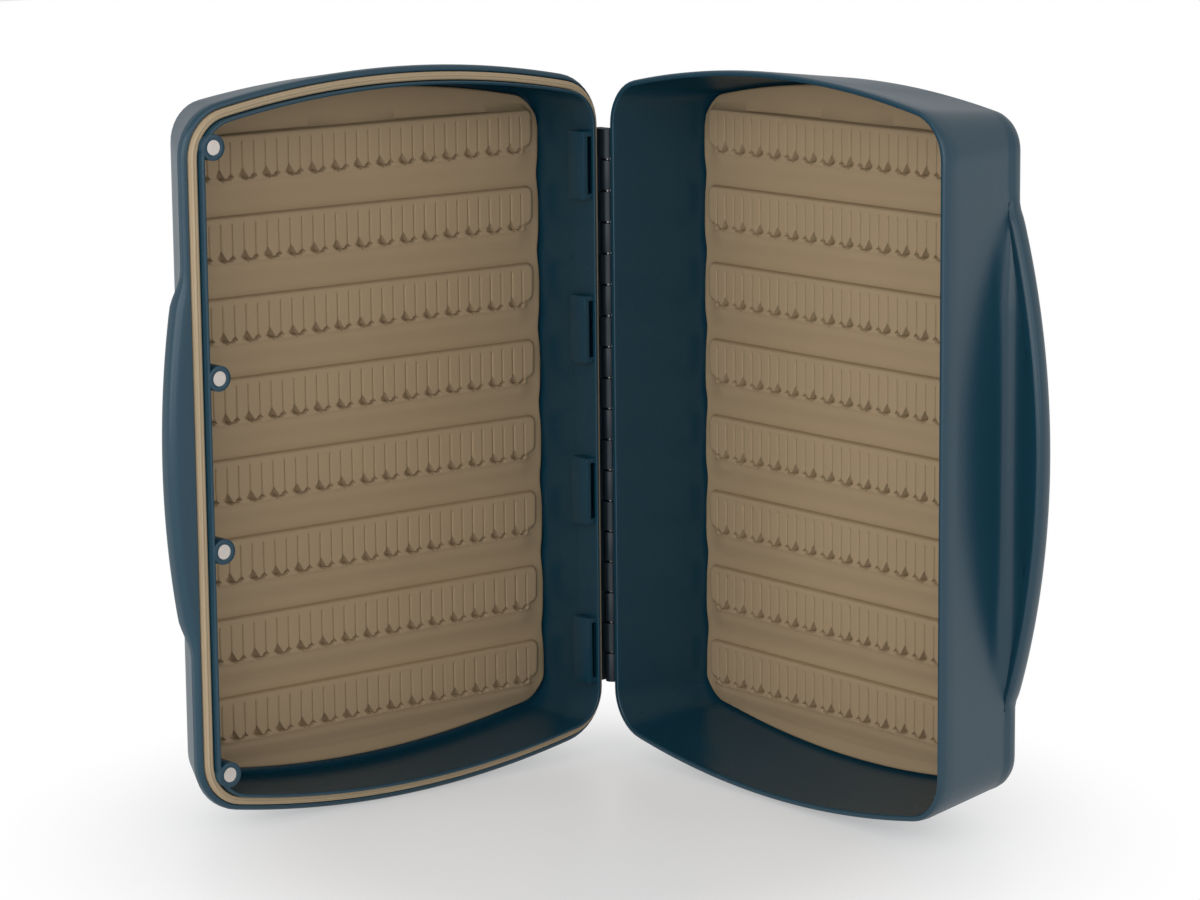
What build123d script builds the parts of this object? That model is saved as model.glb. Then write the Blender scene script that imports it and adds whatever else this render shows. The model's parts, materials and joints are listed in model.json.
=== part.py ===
from build123d import *
import os
from math import cos, radians, sin, sqrt, tan

# Rim of the base; the lid laps over it
RIM_WIDTH = 186.2  # hinge side to opening side
RIM_HALF = 135.6  # half the height, between the tips of the bowed ends
END_RADIUS = 402.0  # bow of the two ends
RIM_CORNER = 18.0
WALL = 2.1
LID_LAP = 1.9  # lid beyond the rim of the base, apart from the hinge side
PARTING_GAP = 0.2  # base rim to gasket crown when closed

# Hinge along one long side
HINGE_OFFSET = 2.8  # pin axis to the hinge side of the shells
REST_OPENING = 89.25  # lid angle from closed, as modelled
HINGE_END = 27.35  # end knuckles to the tips of the ends
KNUCKLE_COUNT = 18  # base and lid take turns
KNUCKLE_LENGTH = 11.2
BARREL_RADIUS = 2.5
BARREL_BITE = 0.4  # how far the arms reach into the walls
BASE_ARM_DROP = 0.4  # arms below the base's rim
LID_ARM = 4.2  # arms and their web beyond the lid's ledge
LID_ARM_BEVEL = 2.0
PIN_RADIUS = 1.0
PIN_CLEARANCE = 0.05  # radial, in the lid's knuckles
PIN_RECESS = 0.5  # pin ends below the end knuckles

# Base shell: depths below the hinge axis
BASE_RISE = 1.2  # rim above the axis
BASE_BAND = 3.2  # straight band below the rim
BASE_SHOULDER = 38.0  # front face of the back wing
BASE_WING_DEPTH = 9.2  # from there to the back
BASE_FLOOR = 2.1  # thickness of the back
BASE_NEAR_DRAFT = 2.9
BASE_END_DRAFT = 6.6
BASE_FAR_DRAFT = 13.5
BASE_CORNER = 13.5  # corners at the back
BASE_EDGE = 6.0  # rounding round the back

# Base wing, a bowed grip on the opening side at the back
WING_ROOT = 25.0  # both wings start this far inside the rim
BASE_WING_REACH = 8.6  # crest beyond the rim
BASE_WING_RADIUS = 265.0
BASE_WING_ARC = 50.0  # angle of the wing's bow, its ends inside the wall
BASE_WING_FRONT = 2.0  # rounding of the front crest
BASE_WING_REAR = 7.0

# Lid shell: depths beyond the hinge axis
LID_BAND = 3.3
LID_BACK = 39.2
LID_FLOOR = 2.5
LID_NEAR_DRAFT = 4.1
LID_END_DRAFT = 8.2
LID_FAR_DRAFT = 28.8
LID_CORNER = 14.0
LID_EDGE = 6.0

# Lid wing, a bowed grip on the opening side at the rim
LID_WING_REACH = 7.8  # crest beyond the lid's edge
LID_WING_RADIUS = 336.0
LID_WING_ARC = 30.0
LID_WING_DEPTH = 8.7
LID_WING_FRONT = 3.3
LID_WING_REAR = 3.0

# Gasket ring and the lip inside it
GASKET_INSET = 0.5  # outer side, inside the outline of the base's rim
GASKET_WIDTH = 3.0
GASKET_SHOULDER = 0.8  # width of its lower outer step
GASKET_CROWN_RISE = 1.6  # crown above the ledge
GASKET_SHOULDER_RISE = 0.9
GASKET_SEAT = 1.5  # groove below the ledge
LIP_GAP = 0.3
LIP = 1.2
LIP_RISE = 4.3  # lip above the ledge

# Magnets in bosses along the lid's opening side
MAGNET_RADIUS = 3.0
MAGNET_LENGTH = 3.0
MAGNET_INSET = 8.6  # centre to the opening side of the rim
MAGNET_SPREAD = 31.6  # inner pair above and below the middle
MAGNET_END = 21.2  # outer pair to the tips of the ends
BOSS_WALL = 1.7
BOSS_LENGTH = 13.5

# Sockets along the lid's hinge side
SOCKET_COUNT = 4
SOCKET_END = 27.8  # outer sockets to the tips of the ends
SOCKET_LENGTH = 26.0
SOCKET_WALL = 2.1
SOCKET_DEPTH = 9.3
SOCKET_DROP = 1.2  # below the top of the lip
SLOT_LENGTH = 22.0
SLOT_WIDTH = 2.0
SLOT_DEPTH = 7.0
RECESS_DEPTH = 1.6  # thin wall below the sockets
RECESS_TOP = 11.0  # beyond the hinge axis

# Soft inserts, the same mat in both shells
INSERT_NEAR_GAP = 0.3  # edges to the walls at the floors
INSERT_FAR_GAP = 0.4
INSERT_END_GAP = 0.6
INSERT_CORNER = 11.0
INSERT_SHEET = 2.8
ADHESIVE = 0.3
ADHESIVE_MARGIN = 2.0
ROW_PITCH = 30.0
ROW_HEIGHT = 17.25  # top line to finger tips
ROW_RISE = 2.7  # fingers above the sheet
ROW_NEAR_MARGIN = 5.1
ROW_FAR_MARGIN = 3.5
ROW_END_MARGIN = 7.0
ROW_SHIFT = 3.2  # rows above the middle
PAIR_PITCH = 10.3  # two fingers
PAIR_FIRST = 15.6  # first wide slit, from the mat's edge
SLIT_LENGTH = 13.55
WIDE_SLIT = 3.6  # at the tips
NARROW_SLIT = 1.8
RAMP_GAP = 1.6  # tips to ramp
RAMP_LENGTH = 5.0
RAMP_RISE = 1.9

# Places worked out from the sizes above
NEAR = HINGE_OFFSET
FAR = HINGE_OFFSET + RIM_WIDTH
RIM_MIDDLE = (NEAR + FAR) / 2
LID_FAR = FAR + LID_LAP
LID_HALF = RIM_HALF + LID_LAP
GASKET_INNER = GASKET_INSET + GASKET_WIDTH
LIP_OUTER = GASKET_INNER + LIP_GAP
LIP_INNER = LIP_OUTER + LIP
LEDGE_DEPTH = BASE_RISE + PARTING_GAP + GASKET_CROWN_RISE
BASE_BACK = BASE_SHOULDER + BASE_WING_DEPTH
LIP_TOP = LEDGE_DEPTH - LIP_RISE
OPEN = radians(REST_OPENING)

# The origin is below the middle of the open box
HINGE_X = -(FAR + BASE_WING_REACH - LID_BACK) / 2
HINGE_Y = (LID_FAR + LID_WING_REACH - BASE_BACK) / 2
MIDDLE = LID_HALF

HINGE_LENGTH = 2 * (RIM_HALF - HINGE_END)
SOCKET_PITCH = (2 * (RIM_HALF - SOCKET_END) - SOCKET_LENGTH) / (SOCKET_COUNT - 1)
LID_STRAIGHT = LEDGE_DEPTH + LID_BAND
BASE_NEAR_DROP = (BASE_BACK - BASE_FLOOR - BASE_BAND + BASE_RISE) * tan(radians(BASE_NEAR_DRAFT))
LID_NEAR_DROP = (LID_BACK - LID_FLOOR - LID_STRAIGHT) * tan(radians(LID_NEAR_DRAFT))
WALL_NEAR = max(WALL + max(BASE_NEAR_DROP, LID_NEAR_DROP), LIP_INNER - RECESS_DEPTH)
INSERT_NEAR = NEAR + WALL_NEAR + INSERT_NEAR_GAP
LID_FAR_DROP = (LID_BACK - LID_FLOOR - LID_STRAIGHT) * tan(radians(LID_FAR_DRAFT))
INSERT_FAR = LID_FAR - WALL / cos(radians(LID_FAR_DRAFT)) - LID_FAR_DROP - INSERT_FAR_GAP
BASE_END_DROP = (BASE_BACK - BASE_FLOOR - BASE_BAND + BASE_RISE) * tan(radians(BASE_END_DRAFT))
INSERT_HALF = RIM_HALF - max(LIP_INNER, WALL + BASE_END_DROP) - INSERT_END_GAP
ROW_NEAR = INSERT_NEAR + ROW_NEAR_MARGIN
ROW_FAR = INSERT_FAR - ROW_FAR_MARGIN
ROW_COUNT = int((2 * INSERT_HALF - ROW_END_MARGIN) / ROW_PITCH)
PAIR_COUNT = int((ROW_FAR - INSERT_NEAR - PAIR_FIRST - WIDE_SLIT) / PAIR_PITCH) + 1
TIPS_MIDDLE = ROW_SHIFT - ROW_HEIGHT / 2
PAIRS_MIDDLE = INSERT_NEAR + PAIR_FIRST + (PAIR_COUNT - 1) * PAIR_PITCH / 2
MAGNET_REACH = RIM_HALF - MAGNET_END
MAGNET_HEIGHTS = (MAGNET_REACH, MAGNET_SPREAD, -MAGNET_SPREAD, -MAGNET_REACH)
MAGNET_PLACES = [(FAR - MAGNET_INSET, height) for height in MAGNET_HEIGHTS]

os.makedirs("parts", exist_ok=True)

BASE_SIDE = Plane((HINGE_X, HINGE_Y, MIDDLE), x_dir=(1, 0, 0), z_dir=(0, 0, 1))
LID_SIDE = Plane((HINGE_X, HINGE_Y, MIDDLE), x_dir=(cos(OPEN), -sin(OPEN), 0), z_dir=(0, 0, -1))


def across(side, depth):
    """Plane across a shell at a depth from the hinge axis: x from the hinge to the opening side, y up."""
    return Plane(side.origin + side.y_dir * depth, x_dir=side.x_dir, z_dir=side.y_dir * inward(side))


def inward(side):
    """Sign that turns a distance into the shell into one along the normal of its across planes."""
    return 1 if side.z_dir.Z < 0 else -1


def level(side, height):
    """Plane square to the hinge axis at a height from the middle: x away from the hinge, y into the shell."""
    return Plane(side.origin + Vector(0, 0, height), x_dir=side.x_dir, z_dir=side.z_dir)


def end_height(along, half):
    """Height of a bowed end at a distance from the hinge; all ends are bowed about the same centre."""
    radius = END_RADIUS - (RIM_HALF - half)
    return half - radius + sqrt(radius**2 - (along - RIM_MIDDLE) ** 2)


def outline(plane, near, far, half, corner):
    """Flat outline with straight hinge and opening sides, bowed ends and rounded corners."""
    near_top = (near, end_height(near, half))
    far_top = (far, end_height(far, half))
    near_bottom = (near, -near_top[1])
    far_bottom = (far, -far_top[1])
    with BuildSketch(plane) as profile:
        with BuildLine():
            Line(near_bottom, near_top)
            ThreePointArc(near_top, (RIM_MIDDLE, half), far_top)
            Line(far_top, far_bottom)
            ThreePointArc(far_bottom, (RIM_MIDDLE, -half), near_bottom)
        make_face()
        fillet(profile.vertices(), corner)
    return profile.sketch


def rim_outline(plane, inset):
    """The rim's outline, moved in."""
    return outline(plane, NEAR + inset, FAR - inset, RIM_HALF - inset, RIM_CORNER - inset)


def ring(plane, outer, inner):
    """The flat ring between two insets from the rim's outline."""
    with BuildSketch(plane) as profile:
        add(rim_outline(Plane.XY, outer))
        add(rim_outline(Plane.XY, inner), mode=Mode.SUBTRACT)
    return profile.sketch


def base_section(depth, inset):
    """Outline of the tapered base at a depth, moved in by a wall, with no taper behind the wing."""
    drop = depth - (BASE_BAND - BASE_RISE)
    far_drop = min(depth, BASE_SHOULDER) - (BASE_BAND - BASE_RISE)
    near = NEAR + inset + drop * tan(radians(BASE_NEAR_DRAFT))
    far = FAR - inset - far_drop * tan(radians(BASE_FAR_DRAFT))
    half = RIM_HALF - inset - drop * tan(radians(BASE_END_DRAFT))
    corner = (RIM_CORNER if drop == 0 else BASE_CORNER) - inset
    return outline(across(BASE_SIDE, depth), near, far, half, corner)


def base_form(inset, bottom):
    """Solid of the base from its rim down: a straight band, the tapered wall and the back."""
    straight = BASE_BAND - BASE_RISE
    with BuildPart() as form:
        extrude(rim_outline(across(BASE_SIDE, -BASE_RISE), inset), amount=BASE_BAND, dir=BASE_SIDE.y_dir)
        loft([base_section(straight, inset), base_section(BASE_SHOULDER, inset)], ruled=True)
        loft([base_section(BASE_SHOULDER, inset), base_section(bottom, inset)], ruled=True)
    return form.part


def lid_band(depth, inset):
    """Outline of the lid's straight band at a depth, moved in; its hinge side is in line with the base's."""
    corner = RIM_CORNER + LID_LAP - inset
    return outline(across(LID_SIDE, depth), NEAR + inset, LID_FAR - inset, LID_HALF - inset, corner)


def lid_section(depth, inset):
    """Outline of the tapered lid at a depth, moved in by a wall."""
    drop = depth - LID_STRAIGHT
    near = NEAR + inset + drop * tan(radians(LID_NEAR_DRAFT))
    far = LID_FAR - inset / cos(radians(LID_FAR_DRAFT)) - drop * tan(radians(LID_FAR_DRAFT))
    half = LID_HALF - inset - drop * tan(radians(LID_END_DRAFT))
    corner = (RIM_CORNER + LID_LAP if drop == 0 else LID_CORNER) - inset
    return outline(across(LID_SIDE, depth), near, far, half, corner)


def rounded_back(section, back, edge):
    """The edge round a back, as two ruled bands between the tangents and the middle of its rounding."""
    turn = edge * (1 - cos(radians(45)))
    loft([section(back - edge, 0), section(back - turn, turn)], ruled=True)
    loft([section(back - turn, turn), section(back, edge)], ruled=True)


def wing(side, reach, radius, arc, depth, length, front, rear):
    """Bowed grip on the opening side: a bar with rounded crest edges, swept about a centre inside the box."""
    crest = FAR + reach
    root = FAR - WING_ROOT
    centre = side.from_local_coords((crest - radius, 0, 0))
    with BuildSketch(side) as profile:
        with BuildLine():
            FilletPolyline(
                (root, depth),
                (crest, depth),
                (crest, depth + length),
                (root, depth + length),
                radius=[front, rear],
            )
            Line((root, depth + length), (root, depth))
        make_face()
    with BuildPart() as grip:
        for turn in (side.y_dir, -side.y_dir):
            revolve(profile.sketch, axis=Axis(centre, turn), revolution_arc=arc / 2)
    return grip.part


def knuckle_heights(first):
    """Heights of every second knuckle, from the middle."""
    pitch = (HINGE_LENGTH - KNUCKLE_LENGTH) / (KNUCKLE_COUNT - 1)
    return [(index - (KNUCKLE_COUNT - 1) / 2) * pitch for index in range(first, KNUCKLE_COUNT, 2)]


def knuckle(side, height, arm):
    """One barrel with its arm, whose outline runs from the axis to the wall."""
    with BuildSketch(level(side, height)) as profile:
        Circle(BARREL_RADIUS)
        with BuildLine():
            Polyline(*arm, close=True)
        make_face()
    return profile.sketch


# Base shell
with BuildPart() as base_shell:
    add(base_form(0, BASE_BACK - BASE_EDGE))
    rounded_back(base_section, BASE_BACK, BASE_EDGE)
    add(
        wing(
            BASE_SIDE,
            BASE_WING_REACH,
            BASE_WING_RADIUS,
            BASE_WING_ARC,
            BASE_SHOULDER,
            BASE_WING_DEPTH,
            BASE_WING_FRONT,
            BASE_WING_REAR,
        )
    )
    add(base_form(WALL, BASE_BACK - BASE_FLOOR), mode=Mode.SUBTRACT)
    arm_end = NEAR + BARREL_BITE
    arm_top = BASE_ARM_DROP - BASE_RISE
    base_arm = [(0, arm_top), (arm_end, arm_top), (arm_end, BARREL_RADIUS), (0, BARREL_RADIUS)]
    for height in knuckle_heights(0):
        extrude(knuckle(BASE_SIDE, height, base_arm), amount=KNUCKLE_LENGTH / 2, both=True)
    with BuildSketch(BASE_SIDE):
        Circle(PIN_RADIUS)
    extrude(amount=HINGE_LENGTH / 2, both=True, mode=Mode.SUBTRACT)
base_shell.part.label = "base_shell"

# Lid shell: the tapered body, the lip above its ledge and the well inside the lip
with BuildPart() as lid_well:
    extrude(rim_outline(across(LID_SIDE, LIP_TOP), LIP_INNER), amount=LID_BACK - LID_FLOOR - LIP_TOP)
    recess = outline(
        across(LID_SIDE, RECESS_TOP),
        NEAR + LIP_INNER - RECESS_DEPTH,
        FAR - LIP_INNER,
        RIM_HALF - LIP_INNER,
        RIM_CORNER - LIP_INNER,
    )
    extrude(recess, amount=LID_BACK - LID_FLOOR - RECESS_TOP)
with BuildPart() as lid_taper:
    extrude(lid_band(LIP_TOP, WALL), amount=LID_STRAIGHT - LIP_TOP)
    loft([lid_section(LID_STRAIGHT, WALL), lid_section(LID_BACK - LID_FLOOR, WALL)], ruled=True)

with BuildPart() as lid_shell:
    extrude(lid_band(LEDGE_DEPTH, 0), amount=LID_BAND)
    loft([lid_section(LID_STRAIGHT, 0), lid_section(LID_BACK - LID_EDGE, 0)], ruled=True)
    rounded_back(lid_section, LID_BACK, LID_EDGE)
    add(
        wing(
            LID_SIDE,
            LID_LAP + LID_WING_REACH,
            LID_WING_RADIUS,
            LID_WING_ARC,
            LEDGE_DEPTH,
            LID_WING_DEPTH,
            LID_WING_FRONT,
            LID_WING_REAR,
        )
    )
    extrude(rim_outline(across(LID_SIDE, LIP_TOP), LIP_OUTER), amount=LIP_RISE + LID_BAND)
    add(lid_well.part.intersect(lid_taper.part), mode=Mode.SUBTRACT)
    groove = ring(across(LID_SIDE, LEDGE_DEPTH), GASKET_INSET, LIP_OUTER)
    extrude(groove, amount=GASKET_SEAT, mode=Mode.SUBTRACT)
    # Magnet bosses
    boss_plane = across(LID_SIDE, LIP_TOP)
    with BuildSketch(boss_plane):
        with Locations(*MAGNET_PLACES):
            Circle(MAGNET_RADIUS + BOSS_WALL)
        add(rim_outline(Plane.XY, LIP_OUTER), mode=Mode.INTERSECT)
    extrude(amount=BOSS_LENGTH)
    with BuildSketch(boss_plane):
        with Locations(*MAGNET_PLACES):
            Circle(MAGNET_RADIUS)
    extrude(amount=MAGNET_LENGTH, mode=Mode.SUBTRACT)
    # Sockets on the hinge side
    with BuildSketch(across(LID_SIDE, LIP_TOP + SOCKET_DROP)):
        with Locations((NEAR + LIP_OUTER, 0)):
            with GridLocations(0, SOCKET_PITCH, 1, SOCKET_COUNT):
                Rectangle(LIP + SLOT_WIDTH + SOCKET_WALL, SOCKET_LENGTH, align=(Align.MIN, Align.CENTER))
    extrude(amount=SOCKET_DEPTH)
    with BuildSketch(across(LID_SIDE, LIP_TOP + SOCKET_DROP)):
        with Locations((NEAR + LIP_INNER, 0)):
            with GridLocations(0, SOCKET_PITCH, 1, SOCKET_COUNT):
                Rectangle(SLOT_WIDTH, SLOT_LENGTH, align=(Align.MIN, Align.CENTER))
    extrude(amount=SLOT_DEPTH, mode=Mode.SUBTRACT)
    # Knuckles on a web, which passes over the base's rim and clears its knuckles
    arm_depth = LEDGE_DEPTH + LID_ARM
    lid_arm = [
        (-BARREL_RADIUS, 0),
        (BARREL_RADIUS, 0),
        (BARREL_RADIUS, LEDGE_DEPTH),
        (-BARREL_RADIUS, LEDGE_DEPTH),
    ]
    for height in knuckle_heights(1):
        extrude(knuckle(LID_SIDE, height, lid_arm), amount=KNUCKLE_LENGTH / 2, both=True)
    with BuildSketch(LID_SIDE):
        with BuildLine():
            Polyline(
                (-BARREL_RADIUS, LEDGE_DEPTH),
                (arm_end, LEDGE_DEPTH),
                (arm_end, arm_depth),
                (LID_ARM_BEVEL - BARREL_RADIUS, arm_depth),
                (-BARREL_RADIUS, arm_depth - LID_ARM_BEVEL),
                close=True,
            )
        make_face()
    extrude(amount=HINGE_LENGTH / 2, both=True)
    with BuildSketch(LID_SIDE):
        Circle(PIN_RADIUS + PIN_CLEARANCE)
    extrude(amount=HINGE_LENGTH / 2, both=True, mode=Mode.SUBTRACT)
lid_shell.part.label = "lid_shell"

# Hinge pin, tight in the base's knuckles
with BuildPart() as hinge_pin:
    with BuildSketch(BASE_SIDE):
        Circle(PIN_RADIUS)
    extrude(amount=HINGE_LENGTH / 2 - PIN_RECESS, both=True)
hinge_pin.part.label = "hinge_pin"

# Gasket with its two-step crown
with BuildPart() as lid_gasket:
    seat = ring(across(LID_SIDE, LEDGE_DEPTH + GASKET_SEAT), GASKET_INSET, GASKET_INNER)
    extrude(seat, amount=-GASKET_SEAT - GASKET_SHOULDER_RISE)
    crown_outer = GASKET_INSET + GASKET_SHOULDER
    crown = ring(across(LID_SIDE, LEDGE_DEPTH - GASKET_SHOULDER_RISE), crown_outer, GASKET_INNER)
    extrude(crown, amount=GASKET_SHOULDER_RISE - GASKET_CROWN_RISE)
lid_gasket.part.label = "lid_gasket"

for part in (base_shell, lid_shell, hinge_pin, lid_gasket):
    export_step(part.part, f"parts/{part.part.label}.step")

# Magnets
for number, place in enumerate(MAGNET_PLACES, start=1):
    with BuildPart() as lid_magnet:
        with BuildSketch(across(LID_SIDE, LIP_TOP)):
            with Locations(place):
                Circle(MAGNET_RADIUS)
        extrude(amount=MAGNET_LENGTH)
    lid_magnet.part.label = f"lid_magnet_{number}"
    export_step(lid_magnet.part, f"parts/{lid_magnet.part.label}.step")


def slit(width, length):
    """Narrow wedge between two fingers, which opens at their tips."""
    side = sqrt((width / 2) ** 2 + length**2)
    with BuildSketch() as cut:
        Triangle(a=width, b=side, c=side, align=(Align.CENTER, Align.MIN))
    return cut.sketch


# Soft inserts: a sheet with rows of raised fingers, and the film that holds it
for name, side, floor in (
    ("base", BASE_SIDE, BASE_BACK - BASE_FLOOR),
    ("lid", LID_SIDE, LID_BACK - LID_FLOOR),
):
    margin = ADHESIVE_MARGIN
    with BuildPart() as adhesive:
        film = outline(
            across(side, floor),
            INSERT_NEAR + margin,
            INSERT_FAR - margin,
            INSERT_HALF - margin,
            INSERT_CORNER - margin,
        )
        extrude(film, amount=-inward(side) * ADHESIVE)
    adhesive.part.label = f"{name}_adhesive"
    export_step(adhesive.part, f"parts/{adhesive.part.label}.step")

    surface = floor - ADHESIVE - INSERT_SHEET
    with BuildPart() as insert:
        sheet = outline(across(side, surface), INSERT_NEAR, INSERT_FAR, INSERT_HALF, INSERT_CORNER)
        extrude(sheet, amount=inward(side) * INSERT_SHEET)
        with BuildSketch(across(side, surface)):
            with Locations(((ROW_NEAR + ROW_FAR) / 2, TIPS_MIDDLE + ROW_HEIGHT / 2)):
                with GridLocations(0, ROW_PITCH, 1, ROW_COUNT):
                    Rectangle(ROW_FAR - ROW_NEAR, ROW_HEIGHT)
            with Locations((PAIRS_MIDDLE, TIPS_MIDDLE)):
                with GridLocations(PAIR_PITCH, ROW_PITCH, PAIR_COUNT, ROW_COUNT):
                    add(slit(WIDE_SLIT, SLIT_LENGTH), mode=Mode.SUBTRACT)
            with Locations((PAIRS_MIDDLE - PAIR_PITCH / 2, TIPS_MIDDLE)):
                with GridLocations(PAIR_PITCH, ROW_PITCH, PAIR_COUNT, ROW_COUNT):
                    add(slit(NARROW_SLIT, SLIT_LENGTH), mode=Mode.SUBTRACT)
        extrude(amount=-inward(side) * ROW_RISE)
        # Ramps below the finger tips
        up = -inward(side)
        start = across(side, surface).from_local_coords((ROW_NEAR, TIPS_MIDDLE, 0))
        with BuildSketch(Plane(start, x_dir=(0, 0, 1), z_dir=side.x_dir)):
            with GridLocations(ROW_PITCH, 0, ROW_COUNT, 1):
                with BuildLine():
                    top = up * RAMP_RISE
                    Polyline((-RAMP_GAP, 0), (-RAMP_GAP, top), (-RAMP_GAP - RAMP_LENGTH, 0), close=True)
                make_face()
        extrude(amount=ROW_FAR - ROW_NEAR)
    insert.part.label = f"{name}_insert"
    export_step(insert.part, f"parts/{insert.part.label}.step")
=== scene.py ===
# %% [markdown]
# # A hinged fly box
# The box has two moulded shells that turn on one long pin. Each holds a soft mat with rows of slit
# fingers. We keep every size in millimetres, as a moulder would, and turn it into metres only where
# a point is placed.

# %% The fixed frame
import json
from math import atan2, cos, degrees, pi, radians, sin, sqrt, tan

import bmesh
import bpy
import numpy as np
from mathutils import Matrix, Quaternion, Vector


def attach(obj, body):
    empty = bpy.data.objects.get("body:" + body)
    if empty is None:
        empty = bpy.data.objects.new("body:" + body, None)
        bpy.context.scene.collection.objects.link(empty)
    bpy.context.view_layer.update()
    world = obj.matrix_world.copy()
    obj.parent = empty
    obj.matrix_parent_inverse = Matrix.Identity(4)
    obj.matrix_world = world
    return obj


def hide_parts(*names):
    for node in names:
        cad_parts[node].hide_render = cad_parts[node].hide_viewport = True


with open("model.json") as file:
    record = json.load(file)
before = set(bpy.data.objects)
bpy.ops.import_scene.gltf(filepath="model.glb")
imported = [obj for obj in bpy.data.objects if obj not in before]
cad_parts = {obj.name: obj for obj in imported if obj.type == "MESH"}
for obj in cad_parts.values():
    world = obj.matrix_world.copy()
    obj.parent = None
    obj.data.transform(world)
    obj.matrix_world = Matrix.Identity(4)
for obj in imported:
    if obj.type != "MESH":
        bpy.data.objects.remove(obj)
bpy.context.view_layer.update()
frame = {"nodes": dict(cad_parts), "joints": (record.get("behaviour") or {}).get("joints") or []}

bpy.ops.object.select_all(action="DESELECT")
print("frame nodes:", sorted(frame["nodes"]))

# %% [markdown]
# ## Where things are
# Both halves are described from the hinge pin: u runs from the pin to the opening side, depth runs
# from the pin into the shell, and z runs along the pin from the middle. `place` turns such a point
# into one of the scene, for the base or for the open lid.

# %% The two halves
MM = 0.001
hinge = frame["joints"][0]
HINGE = Vector(hinge["pos_m"]) / MM
OPEN = radians(max(hinge["range_deg"]))
HALVES = {
    "base": (Vector((1, 0, 0)), Vector((0, 1, 0))),
    "lid": (Vector((cos(OPEN), -sin(OPEN), 0)), Vector((-sin(OPEN), -cos(OPEN), 0))),
}


def place(half, u, depth, z):
    """Point of the scene, in metres, for a point given from the hinge pin."""
    along, into = HALVES[half]
    return (HINGE + along * u + into * depth + Vector((0, 0, z))) * MM


print("lid opened by degrees:", round(degrees(OPEN), 2))

# %% [markdown]
# ## The outline
# Both shells share one outline: straight on the hinge and opening sides, bowed at the two ends, with
# rounded corners. The lid laps a little over the base. Every ring of a shell has the same number of
# points, so that rings can be joined into clean strips of quads.

# %% Outline sizes
RIM_WIDTH = 186.2
RIM_HALF = 135.6
END_RADIUS = 402.0
RIM_CORNER = 18.0
WALL = 2.1
NEAR = 2.8
FAR = NEAR + RIM_WIDTH
RIM_MIDDLE = (NEAR + FAR) / 2
LID_LAP = 1.9
LID_FAR = FAR + LID_LAP
LID_HALF = RIM_HALF + LID_LAP

HINGE_SIDE_POINTS = 14
OPENING_SIDE_POINTS = 84
END_POINTS = 34
CORNER_POINTS = 9


def end_height(u, half):
    """Height of a bowed end; all ends are bowed about the same centre."""
    radius = END_RADIUS - (RIM_HALF - half)
    return half - radius + sqrt(radius**2 - (u - RIM_MIDDLE) ** 2)


def arc_points(centre, radius, start, end, count):
    """Points on an arc, without its last one."""
    turns = [start + (end - start) * step / count for step in range(count)]
    return [(centre[0] + radius * cos(turn), centre[1] + radius * sin(turn)) for turn in turns]


def line_points(start, end, count):
    """Points on a line, without its last one."""
    steps = [step / count for step in range(count)]
    return [(start[0] + (end[0] - start[0]) * t, start[1] + (end[1] - start[1]) * t) for t in steps]


def outline(near, far, half, corner):
    """The outline as (u, z) points, round from the foot of the hinge side."""
    radius = END_RADIUS - (RIM_HALF - half)
    bow = half - radius
    near_z = bow + sqrt((radius - corner) ** 2 - (near + corner - RIM_MIDDLE) ** 2)
    far_z = bow + sqrt((radius - corner) ** 2 - (far - corner - RIM_MIDDLE) ** 2)
    near_turn = atan2(near_z - bow, near + corner - RIM_MIDDLE)
    far_turn = atan2(far_z - bow, far - corner - RIM_MIDDLE)
    upper = (
        line_points((near, 0), (near, near_z), HINGE_SIDE_POINTS // 2)
        + arc_points((near + corner, near_z), corner, pi, near_turn, CORNER_POINTS)
        + arc_points((RIM_MIDDLE, bow), radius, near_turn, far_turn, END_POINTS)
        + arc_points((far - corner, far_z), corner, far_turn, 0, CORNER_POINTS)
        + line_points((far, far_z), (far, 0), OPENING_SIDE_POINTS // 2)
    )
    lower = [(u, -z) for u, z in reversed(upper[1:])]
    return upper + [(far, 0)] + lower


def rim_ring(depth, inset):
    """Ring inside the outline of the base's rim."""
    ring = outline(NEAR + inset, FAR - inset, RIM_HALF - inset, RIM_CORNER - inset)
    return [(u, depth, z) for u, z in ring]


print("points in a ring:", len(outline(NEAR, FAR, RIM_HALF, RIM_CORNER)))

# %% [markdown]
# ## Joining rings
# A turned or moulded skin can be drawn as rings. We start from a circle, put its points on the first
# ring, and then extrude the edge again and again, each time moving the new points to the next ring.
# Two flat faces, or a bridge from the last ring to the first, close the shape.


# %% Ring helpers
def ring_places(half, ring):
    """Places of one ring, given as (u, depth, z) points."""
    return [place(half, *point) for point in ring]


def start_ring(name, points):
    """A circle primitive whose points lie on the first ring, left in edit mode."""
    bpy.ops.mesh.primitive_circle_add(vertices=len(points), radius=RIM_HALF * MM)
    piece = bpy.context.object
    piece.name = name
    piece.data.name = name
    for vertex, point in zip(piece.data.vertices, points):
        vertex.co = point
    bpy.ops.object.mode_set(mode="EDIT")
    bpy.ops.mesh.select_all(action="SELECT")
    return piece


def next_ring(piece, previous, points):
    """Extrudes the selected ring and moves the copy to its places."""
    bpy.ops.mesh.extrude_region_move()
    mesh = bmesh.from_edit_mesh(piece.data)
    mesh.verts.ensure_lookup_table()
    fresh = []
    for index, point in zip(previous, points):
        vertex = mesh.verts[index]
        copy = next(edge.other_vert(vertex) for edge in vertex.link_edges if edge.other_vert(vertex).select)
        copy.co = point
        fresh.append(copy.index)
    bmesh.update_edit_mesh(piece.data)
    return fresh


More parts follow.
